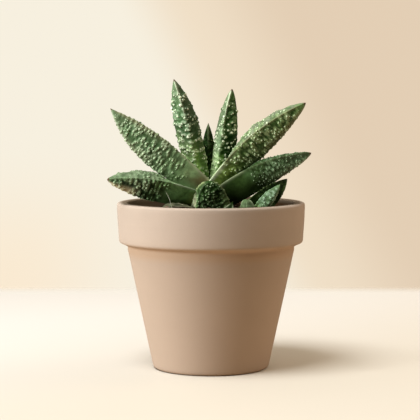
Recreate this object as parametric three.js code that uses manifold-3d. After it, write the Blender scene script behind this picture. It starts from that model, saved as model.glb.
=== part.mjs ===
// A gasteria: a small succulent with thick keeled leaves and two young offsets, in a tapered clay pot.
// Millimetres, +Z up. The origin is the centre of the pot's flat base. The front is towards -Y.
import * as THREE from "three";
import { mergeVertices } from "three/addons/utils/BufferGeometryUtils.js";
import Module from "manifold-3d";

const wasm = await Module();
wasm.setup();

// ---------------------------------------------------------------- driving dimensions

const GAP = 0.3; // clear space between pieces that touch

const POT_HEIGHT = 88.6;
const POT_WALL = 4.6;
const POT_FLOOR = 6;
const POT_SIDES = 52;
const FOOT_RADIUS = 31.2;
const FOOT_ROUND = 2.4;
const BODY_TOP_RADIUS = 44.7;
const BODY_TOP_HEIGHT = 65.4;
const BAND_RADIUS = 50;
const BAND_LOW_RADIUS = 49;
const BAND_LOW_HEIGHT = 68.2;
const LIP_ROUND = 1.4;
const DRAIN_RADIUS = 6;

const SOIL_EDGE_HEIGHT = 81.3;
const SOIL_CROWN_HEIGHT = 86;
const SOIL_CROWN_RADIUS = 20;

const STEM_RADIUS = 7;
const STEM_TOP = 93;
const STEM_BOTTOM = 66;
const ROOT_COUNT = 7;
const ROOT_RADIUS = 1.5;
const ROOT_LENGTH = 40;

const UPPER_FACE_STEPS = 4;
const LEAF_STATIONS = 16;
const LOWER_FACE_STEPS = 6;
const SMALL_LEAF_STATIONS = 10;
const SMALL_LOWER_FACE_STEPS = 4;

// Each leaf starts at its base and runs along its yaw (degrees about Z, 0 towards +X) and its rise (degrees
// above level, at the base and at the tip). Width and keel are the full width and the depth of the keel below
// the margins. Crown is the height of the upper face as a share of the width, negative where that face is
// hollow, and it fades towards the base. Widest is the share of the length, from the tip, where the full
// width is reached. Blunt under 1 rounds the tip. Base share is the width left at the base. Keel offset shifts
// the keel across the lower face, from -1 to 1. Roll turns the section about the leaf's own line.
const ROSETTE = {
  leaf_centre: {
    base: [-1.4, 4, 90.5], yaw: -90, rise: [89, 86], length: 40.3, width: 6.4, keel: 3.4, crown: 0.08,
    widest: 0.36, blunt: 1.1, baseShare: 0.5, keelOffset: 0, roll: 0,
  },
  leaf_centre_left: {
    base: [-5.5, 4, 89.7], yaw: -129.6, rise: [78.4, 64], length: 68, width: 13.2, keel: 7.3, crown: 0.1,
    widest: 0.43, blunt: 0.89, baseShare: 0.88, keelOffset: 0.29, roll: 30.9,
  },
  leaf_centre_right: {
    base: [3.8, 3, 88.4], yaw: -57, rise: [77.5, 77.5], length: 61.8, width: 12.2, keel: 6.4, crown: 0.1,
    widest: 0.52, blunt: 0.74, baseShare: 0.87, keelOffset: -0.3, roll: -41.7,
  },
  leaf_back: {
    base: [-1, 6, 89], yaw: 94, rise: [54, 32], length: 40, width: 16, keel: 8, crown: 0.1,
    widest: 0.55, blunt: 0.85, baseShare: 0.85, keelOffset: 0.1, roll: 5,
  },
  leaf_upper_right: {
    base: [-1.9, -5.3, 94.1], yaw: -17.8, rise: [54.4, 28.8], length: 72.2, width: 16.7, keel: 10.4,
    crown: 0.38, widest: 0.59, blunt: 0.81, baseShare: 0.86, keelOffset: 0.16, roll: -8.5,
  },
  leaf_upper_left: {
    base: [-0.3, -4.5, 94.2], yaw: 188, rise: [39.8, 40.2], length: 69.1, width: 21.2, keel: 12.4,
    crown: 0.13, widest: 0.5, blunt: 1.05, baseShare: 0.74, keelOffset: 0, roll: 31,
  },
  leaf_back_left: {
    base: [-3, 5, 87.5], yaw: 120, rise: [37, 15], length: 45, width: 17, keel: 7, crown: 0.12,
    widest: 0.55, blunt: 0.85, baseShare: 0.85, keelOffset: 0.1, roll: 8,
  },
  leaf_back_right: {
    base: [3, 5, 87.5], yaw: 60, rise: [34, 12], length: 44, width: 17, keel: 8, crown: 0.12,
    widest: 0.55, blunt: 0.85, baseShare: 0.85, keelOffset: 0, roll: -8,
  },
  leaf_lower_right: {
    base: [4.9, -5.4, 91], yaw: -21.7, rise: [37.3, 14.8], length: 56.7, width: 21.4, keel: 10.6,
    crown: 0.3, widest: 0.8, blunt: 0.76, baseShare: 0.91, keelOffset: -0.04, roll: -21.5,
  },
  leaf_lower_left: {
    base: [-6, -6.5, 91.2], yaw: 200, rise: [19.5, 4.5], length: 52.2, width: 24, keel: 8.9, crown: 0.31,
    widest: 0.62, blunt: 0.74, baseShare: 0.78, keelOffset: 0, roll: 15,
  },
  leaf_front: {
    base: [1.1, -7, 78.5], yaw: -98, rise: [52, 66], length: 26.4, width: 22.9, keel: 9, crown: 0.08,
    widest: 0.95, blunt: 0.44, baseShare: 1, keelOffset: -0.65, roll: -3,
  },
  leaf_old_left: {
    base: [-11, -9, 84.2], yaw: -128, rise: [14, 8], length: 20, width: 17.5, keel: 5, crown: 0.16,
    widest: 0.6, blunt: 0.6, baseShare: 0.85, keelOffset: 0, roll: 6, small: true,
  },
};

const OFFSET = {
  offset_leaf_inner: {
    base: [23, -22.2, 83.5], yaw: -4, rise: [52, 50], length: 20.6, width: 9.5, keel: 3.8, crown: 0.16,
    widest: 0.62, blunt: 0.95, baseShare: 0.8, keelOffset: 0, roll: -48, small: true,
  },
  offset_leaf_outer: {
    base: [18, -19.2, 82.7], yaw: -7, rise: [37, 46.9], length: 29.3, width: 12.4, keel: 3.2, crown: -0.06,
    widest: 0.66, blunt: 0.85, baseShare: 0.95, keelOffset: 0, roll: 108, small: true,
  },
  offset_leaf_round: {
    base: [20, -23, 82.5], yaw: -120, rise: [66, 80], length: 10, width: 8.8, keel: 3.2, crown: 0.1,
    widest: 0.6, blunt: 0.45, baseShare: 0.85, keelOffset: 0.3, roll: 0, small: true,
  },
  offset_leaf_side: {
    base: [18, -15.5, 84], yaw: 16, rise: [38, 30], length: 13, width: 8, keel: 3.5, crown: 0.1,
    widest: 0.55, blunt: 0.8, baseShare: 0.85, keelOffset: 0, roll: -40, small: true,
  },
};
const OFFSET_STEM = { foot: [21, -19.5, 75], top: [22.5, -19.5, 86], radius: 4 };

const BUD = {
  bud_leaf_front: {
    base: [5.7, -24, 79.1], yaw: -2, rise: [62, 66], length: 13, width: 8.8, keel: 2, crown: -0.04,
    widest: 0.9, blunt: 1.2, baseShare: 0.9, keelOffset: 0, roll: 63, small: true,
  },
  bud_leaf_back: {
    base: [5.2, -22.2, 79.6], yaw: 150, rise: [60, 50], length: 8.5, width: 6, keel: 2.2, crown: 0.05,
    widest: 0.6, blunt: 0.9, baseShare: 0.75, keelOffset: 0, roll: 0, small: true,
  },
};
const BUD_STEM = { foot: [5.5, -23.4, 74], top: [5.5, -23.4, 81], radius: 2.6 };

const PEBBLE = { centre: [-13.2, -29.8, 85.4], radii: [2.4, 2, 2.1] };
const FIBRE_RADIUS = 0.25;
const FIBRE_ROUTE = [
  [-19.5, -24.5, 84.15],
  [-20.5, -26, 88.5],
  [-21.4, -27, 92],
  [-23.4, -28, 96.2],
];

// ---------------------------------------------------------------- solids

// A closed geometry as a solid that can be joined and cut.
function solidOf(geometry) {
  const bare = geometry.clone();
  bare.deleteAttribute("normal");
  bare.deleteAttribute("uv");
  const merged = mergeVertices(bare, 1e-4);
  const mesh = new wasm.Mesh({
    numProp: 3,
    vertProperties: new Float32Array(merged.attributes.position.array),
    triVerts: new Uint32Array(merged.index.array),
  });
  return new wasm.Manifold(mesh);
}

function geometryOf(solid) {
  const mesh = solid.getMesh();
  const geometry = new THREE.BufferGeometry();
  geometry.setAttribute("position", new THREE.BufferAttribute(mesh.vertProperties, 3));
  geometry.setIndex(new THREE.BufferAttribute(mesh.triVerts, 1));
  return geometry;
}

// A cut can leave crumbs behind: the piece itself is the largest body.
function largestBody(solid) {
  const bodies = solid.decompose();
  return bodies.reduce((best, body) => (body.volume() > best.volume() ? body : best));
}

function closedGeometry(points, triangles) {
  const geometry = new THREE.BufferGeometry();
  geometry.setAttribute("position", new THREE.Float32BufferAttribute(points.flat(), 3));
  geometry.setIndex(triangles.flat());
  return geometry;
}

// ---------------------------------------------------------------- leaves

const radians = THREE.MathUtils.degToRad;

// Points along the leaf's middle line, each with its direction and its distance from the base as a share.
function leafLine(leaf, stations) {
  const yaw = radians(leaf.yaw);
  const level = new THREE.Vector3(Math.cos(yaw), Math.sin(yaw), 0);
  const directionAt = (share) => {
    const rise = radians(leaf.rise[0] + (leaf.rise[1] - leaf.rise[0]) * share);
    return level.clone().multiplyScalar(Math.cos(rise)).setZ(Math.sin(rise));
  };
  const step = leaf.length / (stations - 1);
  const point = new THREE.Vector3(...leaf.base);
  const line = [];
  for (let i = 0; i < stations; i++) {
    const share = i / (stations - 1);
    line.push({ share, point: point.clone(), direction: directionAt(share) });
    point.addScaledVector(directionAt(share + 0.5 / (stations - 1)), step);
  }
  return line;
}

// The width at a share of the length, as a share of the full width.
function leafOutline(leaf, share) {
  const fromTip = 1 - share;
  const tipReach = Math.min(fromTip / leaf.widest, 1);
  const tip = (1 - (1 - tipReach) ** 2) ** leaf.blunt;
  const towardsBase = Math.max((fromTip - leaf.widest) / (1 - leaf.widest), 0);
  return tip * (1 - (1 - leaf.baseShare) * towardsBase ** 2);
}

// One section as [across, up] pairs: the crowned upper face, then the keeled lower face.
function leafSection(leaf, share, lowerSteps, grow) {
  const outline = leafOutline(leaf, share);
  const halfWidth = (leaf.width / 2) * outline + grow;
  const crownLeft = 0.15 + 0.85 * THREE.MathUtils.smoothstep(share, 0.2, 0.6);
  const crown = leaf.crown * leaf.width * outline * crownLeft + grow;
  const keel = leaf.keel * outline ** 0.9 * (1 - 0.25 * (1 - share) ** 3) + grow;
  const section = [];
  for (let i = 0; i <= UPPER_FACE_STEPS; i++) {
    const across = Math.cos((Math.PI * i) / UPPER_FACE_STEPS);
    section.push([across * halfWidth, crown * (1 - across ** 2)]);
  }
  for (let i = 1; i < lowerSteps; i++) {
    const fromKeel = Math.abs(1 - (2 * i) / lowerSteps);
    const side = 2 * i < lowerSteps ? -1 - leaf.keelOffset : 1 - leaf.keelOffset;
    const across = leaf.keelOffset + side * fromKeel;
    section.push([across * halfWidth, -keel * (1 - fromKeel ** 1.35)]);
  }
  return section;
}

// A leaf as one closed skin. A grown copy, larger by the given amount all round, serves as a cutter.
function leafGeometry(leaf, grow = 0) {
  const stations = leaf.small ? SMALL_LEAF_STATIONS : LEAF_STATIONS;
  const lowerSteps = leaf.small ? SMALL_LOWER_FACE_STEPS : LOWER_FACE_STEPS;
  const ringSize = UPPER_FACE_STEPS + lowerSteps;
  const line = leafLine(leaf, stations);
  const yaw = radians(leaf.yaw);
  const roll = radians(leaf.roll);
  const level = new THREE.Vector3(-Math.sin(yaw), Math.cos(yaw), 0);
  const points = [];
  line.slice(0, -1).forEach(({ share, point, direction }, i) => {
    const upright = direction.clone().cross(level);
    const acrossAxis = level.clone().multiplyScalar(Math.cos(roll));
    acrossAxis.addScaledVector(upright, Math.sin(roll));
    const upAxis = level.clone().multiplyScalar(-Math.sin(roll)).addScaledVector(upright, Math.cos(roll));
    const centre = i === 0 ? point.clone().addScaledVector(direction, -grow) : point;
    leafSection(leaf, share, lowerSteps, grow).forEach(([across, up]) => {
      const corner = centre.clone().addScaledVector(acrossAxis, across).addScaledVector(upAxis, up);
      points.push(corner.toArray());
    });
  });
  const tip = line.at(-1);
  const baseCentre = line[0].point.clone().addScaledVector(line[0].direction, -grow);
  points.push(tip.point.clone().addScaledVector(tip.direction, grow).toArray());
  points.push(baseCentre.toArray());
  const tipIndex = points.length - 2;
  const baseIndex = points.length - 1;
  const triangles = [];
  for (let j = 0; j < ringSize; j++) {
    const next = (j + 1) % ringSize;
    for (let i = 0; i < stations - 2; i++) {
      const low = i * ringSize;
      const high = low + ringSize;
      triangles.push([low + j, low + next, high + next], [low + j, high + next, high + j]);
    }
    const last = (stations - 2) * ringSize;
    triangles.push([last + j, last + next, tipIndex], [next, j, baseIndex]);
  }
  return closedGeometry(points, triangles);
}

// Younger leaves keep their whole base. Each older leaf clasps the ones made before it, with a small gap.
function claspingLeaves(leaves, stemCutter) {
  const solids = {};
  let taken = stemCutter;
  for (const [name, leaf] of Object.entries(leaves)) {
    solids[name] = largestBody(solidOf(leafGeometry(leaf)).subtract(taken));
    taken = taken.add(solidOf(leafGeometry(leaf, GAP)));
  }
  return { solids, taken };
}

// ---------------------------------------------------------------- stems and roots

function roundTube(route, radius, steps, sides) {
  const outline = new THREE.Shape();
  for (let i = 0; i < sides; i++) {
    const angle = (2 * Math.PI * i) / sides;
    const corner = [radius * Math.cos(angle), radius * Math.sin(angle)];
    if (i === 0) outline.moveTo(...corner);
    else outline.lineTo(...corner);
  }
  outline.closePath();
  const path = new THREE.CatmullRomCurve3(route.map((p) => new THREE.Vector3(...p)));
  return new THREE.ExtrudeGeometry(outline, { steps, bevelEnabled: false, extrudePath: path });
}

// A short stem: round, widest at the middle of its height and drawn in at both ends.
function stemGeometry(foot, top, radius, grow) {
  const low = new THREE.Vector3(...foot);
  const high = new THREE.Vector3(...top);
  const height = high.z - low.z + 2 * grow;
  const profile = [];
  const steps = 6;
  for (let i = 0; i <= steps; i++) {
    const angle = Math.PI * (i / steps);
    const out = i % steps === 0 ? 0 : (radius + grow) * Math.sin(angle) ** 0.6;
    profile.push(new THREE.Vector2(out, (-height / 2) * Math.cos(angle)));
  }
  const middle = low.clone().add(high).multiplyScalar(0.5);
  return new THREE.LatheGeometry(profile, 12).rotateX(Math.PI / 2).translate(...middle.toArray());
}

// Fleshy roots fan out and down from the lower half of the stem.
function rootRoute(index) {
  const angle = (2 * Math.PI * index) / ROOT_COUNT + 0.3;
  const spread = index % 2 === 0 ? 0.9 : 0.55;
  const at = (out, down) => [out * Math.cos(angle), out * Math.sin(angle), STEM_BOTTOM + 8 - down];
  return [
    at(1.5, 0),
    at(0.22 * ROOT_LENGTH * spread, 0.16 * ROOT_LENGTH),
    at(0.42 * ROOT_LENGTH * spread, 0.48 * ROOT_LENGTH),
    at(0.5 * ROOT_LENGTH * spread, ROOT_LENGTH),
  ];
}

function stemAndRoots(grow) {
  let solid = solidOf(stemGeometry([0, 0, STEM_BOTTOM], [0, 0, STEM_TOP], STEM_RADIUS, grow));
  for (let i = 0; i < ROOT_COUNT; i++) {
    const route = rootRoute(i);
    const end = route.at(-1);
    end[2] -= grow;
    solid = solid.add(solidOf(roundTube(route, ROOT_RADIUS + grow, 6, 6)));
  }
  return solid;
}

// ---------------------------------------------------------------- pot and soil

function arcPoints(centreX, centreY, radius, fromDegrees, toDegrees, steps) {
  const points = [];
  for (let i = 0; i <= steps; i++) {
    const angle = radians(fromDegrees + ((toDegrees - fromDegrees) * i) / steps);
    points.push([centreX + radius * Math.cos(angle), centreY + radius * Math.sin(angle)]);
  }
  return points;
}

function latheOf(profile, sides) {
  const vectors = profile.map(([out, up]) => new THREE.Vector2(out, up));
  return new THREE.LatheGeometry(vectors, sides).rotateX(Math.PI / 2);
}

// The inner wall's radius at a height above the pot's floor.
function innerRadius(height) {
  const slope = (BODY_TOP_RADIUS - FOOT_RADIUS) / BODY_TOP_HEIGHT;
  return FOOT_RADIUS + slope * height - POT_WALL;
}

function potGeometry() {
  const lipInner = innerRadius(POT_HEIGHT) - 0.6;
  const profile = [
    [DRAIN_RADIUS, 0],
    ...arcPoints(FOOT_RADIUS - FOOT_ROUND, FOOT_ROUND, FOOT_ROUND, -90, -12, 3),
    [BODY_TOP_RADIUS - 0.4, BODY_TOP_HEIGHT - 2],
    [BODY_TOP_RADIUS, BODY_TOP_HEIGHT],
    [BODY_TOP_RADIUS + 1, BODY_TOP_HEIGHT + 0.9],
    [BAND_LOW_RADIUS - 1.3, BAND_LOW_HEIGHT - 0.8],
    [BAND_LOW_RADIUS - 0.3, BAND_LOW_HEIGHT + 0.3],
    [BAND_LOW_RADIUS, BAND_LOW_HEIGHT + 1.5],
    [BAND_RADIUS - 0.3, BAND_LOW_HEIGHT + 11],
    [BAND_RADIUS, POT_HEIGHT - 3.6],
    ...arcPoints(BAND_RADIUS - LIP_ROUND, POT_HEIGHT - LIP_ROUND, LIP_ROUND, 8, 90, 4),
    ...arcPoints(lipInner + 1.2, POT_HEIGHT - 1.2, 1.2, 90, 180, 2),
    [innerRadius(POT_HEIGHT - 12), POT_HEIGHT - 12],
    [innerRadius(POT_FLOOR + 3), POT_FLOOR + 3],
    [innerRadius(POT_FLOOR) - 2.5, POT_FLOOR],
    [DRAIN_RADIUS, POT_FLOOR],
    [DRAIN_RADIUS, 0],
  ];
  return latheOf(profile, POT_SIDES);
}

function soilHeight(out) {
  const edge = innerRadius(SOIL_EDGE_HEIGHT);
  const share = THREE.MathUtils.smoothstep(edge - out, 0, edge - SOIL_CROWN_RADIUS);
  return SOIL_EDGE_HEIGHT + (SOIL_CROWN_HEIGHT - SOIL_EDGE_HEIGHT) * share;
}

function soilGeometry() {
  const bottom = POT_FLOOR + GAP;
  const edge = innerRadius(SOIL_EDGE_HEIGHT) - GAP - 0.2;
  const profile = [
    [0, bottom],
    [innerRadius(POT_FLOOR) - 3.2, bottom],
    [innerRadius(POT_FLOOR + 3) - GAP - 0.4, POT_FLOOR + 3.2],
    [edge, SOIL_EDGE_HEIGHT],
  ];
  const rings = 6;
  for (let i = 1; i < rings; i++) {
    const out = edge * (1 - i / rings);
    profile.push([out, soilHeight(out)]);
  }
  profile.push([0, SOIL_CROWN_HEIGHT]);
  return latheOf(profile, 36);
}

// ---------------------------------------------------------------- small pieces

function pebbleGeometry({ centre, radii }, grow = 0) {
  const pebble = new THREE.SphereGeometry(1, 12, 8);
  pebble.scale(radii[0] + grow, radii[1] + grow, radii[2] + grow);
  return pebble.rotateZ(0.5).translate(...centre);
}

// ---------------------------------------------------------------- assembly

const MATERIALS = {
  clay: new THREE.MeshStandardMaterial({ color: 0xb79c83, roughness: 0.85, metalness: 0 }),
  soil: new THREE.MeshStandardMaterial({ color: 0x3b2a1f, roughness: 0.95, metalness: 0 }),
  stem: new THREE.MeshStandardMaterial({ color: 0x8f8a62, roughness: 0.7, metalness: 0 }),
  leaf: new THREE.MeshStandardMaterial({ color: 0x3f6138, roughness: 0.5, metalness: 0 }),
  youngLeaf: new THREE.MeshStandardMaterial({ color: 0x5f8558, roughness: 0.5, metalness: 0 }),
  pebble: new THREE.MeshStandardMaterial({ color: 0xb08a78, roughness: 0.8, metalness: 0 }),
  fibre: new THREE.MeshStandardMaterial({ color: 0xb9ac8e, roughness: 0.9, metalness: 0 }),
};

const plant = new THREE.Group();

function addPiece(name, geometry, material) {
  const mesh = new THREE.Mesh(geometry, material);
  mesh.name = name;
  plant.add(mesh);
}

const rosette = claspingLeaves(ROSETTE, stemAndRoots(GAP));
const offsetStemCutter = solidOf(stemGeometry(OFFSET_STEM.foot, OFFSET_STEM.top, OFFSET_STEM.radius, GAP));
const offset = claspingLeaves(OFFSET, offsetStemCutter.add(rosette.taken));
const budStemCutter = solidOf(stemGeometry(BUD_STEM.foot, BUD_STEM.top, BUD_STEM.radius, GAP));
const bud = claspingLeaves(BUD, budStemCutter.add(offset.taken));
const pebbleCutter = solidOf(pebbleGeometry(PEBBLE, GAP));
const plantCutter = bud.taken.add(pebbleCutter);

addPiece("pot", potGeometry(), MATERIALS.clay);
addPiece("soil", geometryOf(largestBody(solidOf(soilGeometry()).subtract(plantCutter))), MATERIALS.soil);
addPiece("stem_and_roots", geometryOf(stemAndRoots(0)), MATERIALS.stem);
for (const [name, solid] of Object.entries(rosette.solids)) {
  addPiece(name, geometryOf(solid), MATERIALS.leaf);
}
const offsetStem = stemGeometry(OFFSET_STEM.foot, OFFSET_STEM.top, OFFSET_STEM.radius, 0);
addPiece("offset_stem", offsetStem, MATERIALS.stem);
for (const [name, solid] of Object.entries(offset.solids)) {
  addPiece(name, geometryOf(solid), MATERIALS.youngLeaf);
}
addPiece("bud_stem", stemGeometry(BUD_STEM.foot, BUD_STEM.top, BUD_STEM.radius, 0), MATERIALS.stem);
for (const [name, solid] of Object.entries(bud.solids)) {
  addPiece(name, geometryOf(solid), MATERIALS.youngLeaf);
}
addPiece("pebble", pebbleGeometry(PEBBLE), MATERIALS.pebble);
addPiece("dry_fibre", roundTube(FIBRE_ROUTE, FIBRE_RADIUS, 10, 6), MATERIALS.fibre);

export default plant;
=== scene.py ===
import math

import bmesh
import bpy
import numpy as np
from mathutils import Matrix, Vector, noise


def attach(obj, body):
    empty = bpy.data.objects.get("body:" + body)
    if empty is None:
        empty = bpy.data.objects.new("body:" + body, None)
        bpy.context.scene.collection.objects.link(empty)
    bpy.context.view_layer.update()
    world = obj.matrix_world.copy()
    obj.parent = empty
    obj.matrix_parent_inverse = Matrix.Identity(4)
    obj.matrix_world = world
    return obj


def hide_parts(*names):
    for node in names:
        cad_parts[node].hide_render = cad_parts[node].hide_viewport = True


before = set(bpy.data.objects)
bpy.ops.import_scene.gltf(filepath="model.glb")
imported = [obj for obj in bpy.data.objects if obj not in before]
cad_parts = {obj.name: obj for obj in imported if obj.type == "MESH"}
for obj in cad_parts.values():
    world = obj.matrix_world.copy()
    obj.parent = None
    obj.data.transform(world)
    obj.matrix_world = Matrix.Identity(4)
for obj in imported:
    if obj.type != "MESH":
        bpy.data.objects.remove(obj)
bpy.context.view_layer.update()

scene = bpy.context.scene
MM = 0.001
FULL_TURN = 2 * math.pi

# ---- sizes

POT_HEIGHT = 88.6
POT_WALL = 4.6
POT_SIDES = 180
PROFILE_STEP = 1.6
RIM_RADIUS = 50
LIP_CREST_RADIUS = 48.7
LIP_OUTER_ROUND = 1.4
LIP_INNER_ROUND = 0.8
POT_FLOOR = 6
FOOT_RADIUS = 31.2
FOOT_ROUND = 2.4
BODY_TOP_RADIUS = 44.7
BODY_TOP_HEIGHT = 65.4
DRAIN_RADIUS = 6
DRAIN_ROUND = 0.6
SOIL_EDGE_HEIGHT = 81.3
SOIL_CROWN_HEIGHT = 86
SOIL_CROWN_RADIUS = 20
SOIL_SIDES = 140
SOIL_ROWS = 44

# Each leaf's shape: where it grows from, its yaw, its rise at the base and at the tip, its length, width and
# keel depth, the crown's height by width, where it is widest from the tip, how blunt the tip is, the base's
# share of the width, how far the keel stands to one side, and the roll. On the next line are its warts: where
# they begin and end, the size, stretch and height of the folds, and the spacing, size and height of the
# pearls.
LEAVES = {
    "leaf_centre": (
        (-1.4, 4, 90.5), -90, (89, 86), 40.3, 6.4, 3.4, 0.08, 0.36, 1.1, 0.5, 0, 0,
        0.1, 0.95, 1.7, 1.3, 0.3, 1.8, 0.5, 0.6),
    "leaf_centre_left": (
        (-5.5, 4, 89.7), -129.6, (78.4, 64), 68, 13.2, 7.3, 0.1, 0.43, 0.89, 0.88, 0.29, 30.9,
        0.1, 0.95, 2.3, 1.9, 0.55, 1.9, 0.8, 0.75),
    "leaf_centre_right": (
        (3.8, 3, 88.4), -57, (77.5, 77.5), 61.8, 12.2, 6.4, 0.1, 0.52, 0.74, 0.87, -0.3, -41.7,
        0.12, 0.95, 2.3, 1.3, 0.45, 2.1, 0.78, 0.75),
    "leaf_back": (
        (-1, 6, 89), 94, (54, 32), 40, 16, 8, 0.1, 0.55, 0.85, 0.85, 0.1, 5,
        0.3, 0.96, 2.2, 1.3, 0.5, 1.9, 0.66, 0.7),
    "leaf_upper_right": (
        (-1.9, -5.3, 94.1), -17.8, (54.4, 28.8), 72.2, 16.7, 10.4, 0.38, 0.59, 0.81, 0.86, 0.16, -8.5,
        0.13, 0.95, 2.1, 1.3, 0.4, 1.8, 0.66, 0.75),
    "leaf_upper_left": (
        (-0.3, -4.5, 94.2), 188, (39.8, 40.2), 69.1, 21.2, 12.4, 0.13, 0.5, 1.05, 0.74, 0, 31,
        0.26, 0.97, 1.8, 1.3, 0.55, 1.4, 0.62, 0.7),
    "leaf_back_left": (
        (-3, 5, 87.5), 120, (37, 15), 45, 17, 7, 0.12, 0.55, 0.85, 0.85, 0.1, 8,
        0.32, 0.96, 2.2, 1.3, 0.5, 1.9, 0.66, 0.7),
    "leaf_back_right": (
        (3, 5, 87.5), 60, (34, 12), 44, 17, 8, 0.12, 0.55, 0.85, 0.85, 0, -8,
        0.32, 0.96, 2.2, 1.3, 0.5, 1.9, 0.66, 0.7),
    "leaf_lower_right": (
        (4.9, -5.4, 91), -21.7, (37.3, 14.8), 56.7, 21.4, 10.6, 0.3, 0.8, 0.76, 0.91, -0.04, -21.5,
        0.34, 0.96, 1.5, 1.1, 0.2, 1.6, 0.5, 0.7),
    "leaf_lower_left": (
        (-6, -6.5, 91.2), 200, (19.5, 4.5), 52.2, 24, 8.9, 0.31, 0.62, 0.74, 0.78, 0, 15,
        0.36, 0.96, 2.1, 2.0, 0.75, 1.8, 0.66, 0.7),
    "leaf_front": (
        (1.1, -7, 78.5), -98, (52, 66), 26.4, 22.9, 9, 0.08, 0.95, 0.44, 1, -0.65, -3,
        0.1, 1.12, 1.6, 1.4, 0.38, 1.4, 0.5, 0.6),
    "leaf_old_left": (
        (-11, -9, 84.2), -128, (14, 8), 20, 17.5, 5, 0.16, 0.6, 0.6, 0.85, 0, 6,
        0.3, 0.95, 2.0, 2.2, 0.3, 2.4, 0.35, 0.5),
    "offset_leaf_inner": (
        (23, -22.2, 83.5), -4, (52, 50), 20.6, 9.5, 3.8, 0.16, 0.62, 0.95, 0.8, 0, -48,
        0.08, 0.97, 1.5, 1.3, 0.35, 1.25, 0.44, 0.7),
    "offset_leaf_outer": (
        (18, -19.2, 82.7), -7, (37, 46.9), 29.3, 12.4, 3.2, -0.06, 0.66, 0.85, 0.95, 0, 108,
        0.3, 0.95, 1.8, 1.4, 0.3, 1.7, 0.32, 0.6),
    "offset_leaf_round": (
        (20, -23, 82.5), -120, (66, 80), 10, 8.8, 3.2, 0.1, 0.6, 0.45, 0.85, 0.3, 0,
        0.2, 0.95, 1.8, 1.4, 0.25, 1.8, 0.3, 0.5),
    "offset_leaf_side": (
        (18, -15.5, 84), 16, (38, 30), 13, 8, 3.5, 0.1, 0.55, 0.8, 0.85, 0, -40,
        0.2, 0.95, 1.6, 1.4, 0.3, 1.5, 0.35, 0.6),
    "bud_leaf_front": (
        (5.7, -24, 79.1), -2, (62, 66), 13, 8.8, 2, -0.04, 0.9, 1.2, 0.9, 0, 63,
        0.2, 0.95, 1.5, 1.4, 0.25, 1.6, 0.3, 0.5),
    "bud_leaf_back": (
        (5.2, -22.2, 79.6), 150, (60, 50), 8.5, 6, 2.2, 0.05, 0.6, 0.9, 0.75, 0, 0,
        0.2, 0.95, 1.5, 1.4, 0.25, 1.6, 0.3, 0.5),
}
LEAF_KEYS = """base yaw rise length width keel crown widest blunt base_share keel_offset roll
    warts_from warts_to fold stretch fold_height spacing pearl_size pearl_height""".split()
UPPER_WARTS = {"leaf_upper_right": 0.85, "leaf_lower_left": 0.6}  # how warty the upper face is, 1 in others

BRIGHT_PEARL = (0.74, 0.83, 0.64)
WARM_EDGE = (0.25, 0.2, 0.12)
REAR = ((0.012, 0.03, 0.004), (0.03, 0.07, 0.016), (0.08, 0.13, 0.06), (0.08, 0.14, 0.04), 0.3,
        (0.56, 0.67, 0.46), 0.85)
MATT = dict(gloss=0.6, shine=0.06)
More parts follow.
